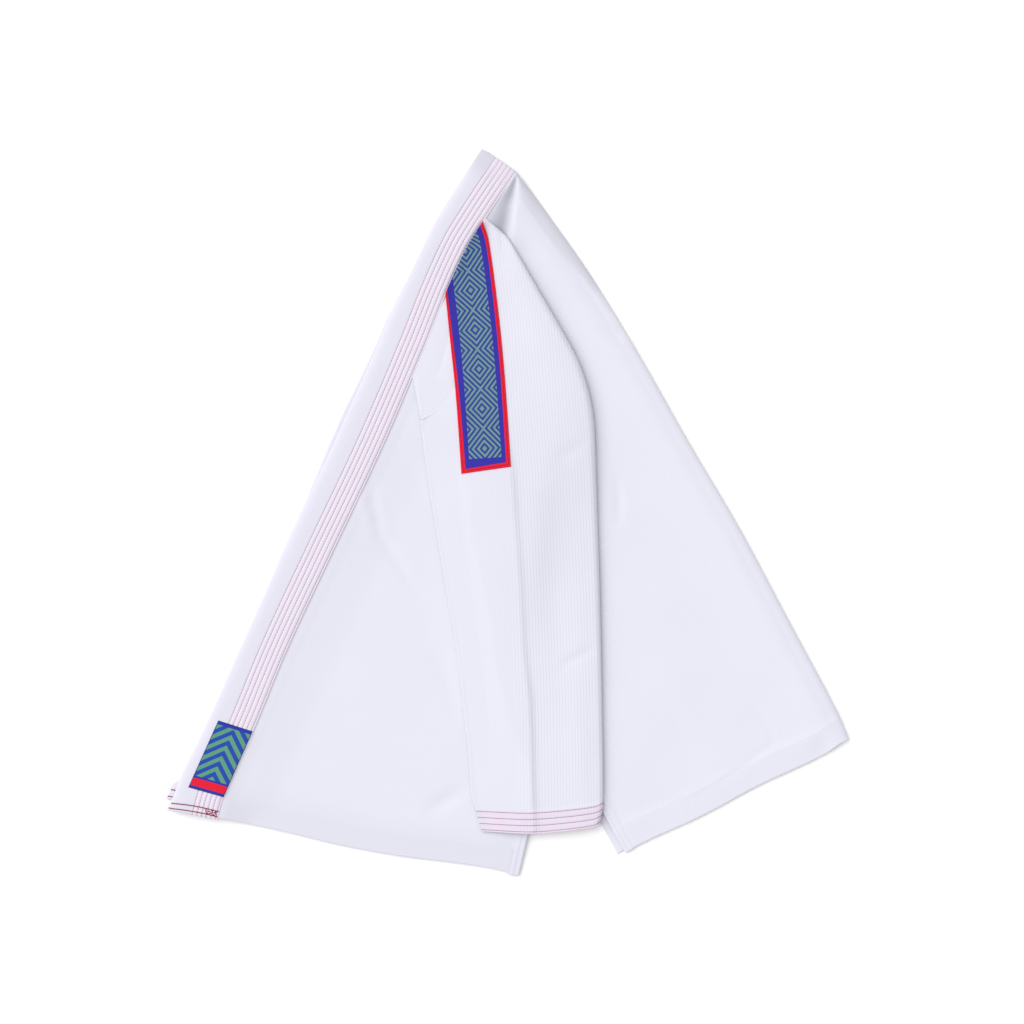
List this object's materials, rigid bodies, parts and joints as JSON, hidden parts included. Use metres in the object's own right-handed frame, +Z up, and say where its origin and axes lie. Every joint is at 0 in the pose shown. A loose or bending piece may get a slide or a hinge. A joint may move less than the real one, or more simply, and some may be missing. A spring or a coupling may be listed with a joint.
{
  "type": "folded jiu-jitsu jacket",
  "caption": "White cotton jiu-jitsu jacket folded in half along its centre back and laid flat, with a thick lapel, a sleeve down the middle, a shoulder patch and a lapel label.",
  "frame": {"origin": "centre of the jacket's plan outline, on the surface that it lies on", "axes": "+Z up from that surface, +Y up the centre of the jacket towards the neck, +X towards the centre-back fold, away from the lapel"},
  "size_m": [0.7807, 0.8343, 0.02],
  "materials": {
    "white_cotton": "matt white pearl-weave cotton, ribbed across its length",
    "lapel_cotton": "matt white ripstop cotton over a firm core, quilted in rows of pale red thread",
    "patch_weave": "woven blue patch with a green pattern and a red border, slight sheen",
    "label_weave": "woven blue label with a green pattern, slight sheen"
  },
  "bodies": {
    "root": {"far_layers": "white_cotton", "front_panel": "white_cotton", "back_panel": "white_cotton", "front_shoulder": "white_cotton", "sleeve": "white_cotton", "collar": "lapel_cotton", "shoulder_patch": "patch_weave", "lapel_label": "label_weave"}
  },
  "joints": []
}
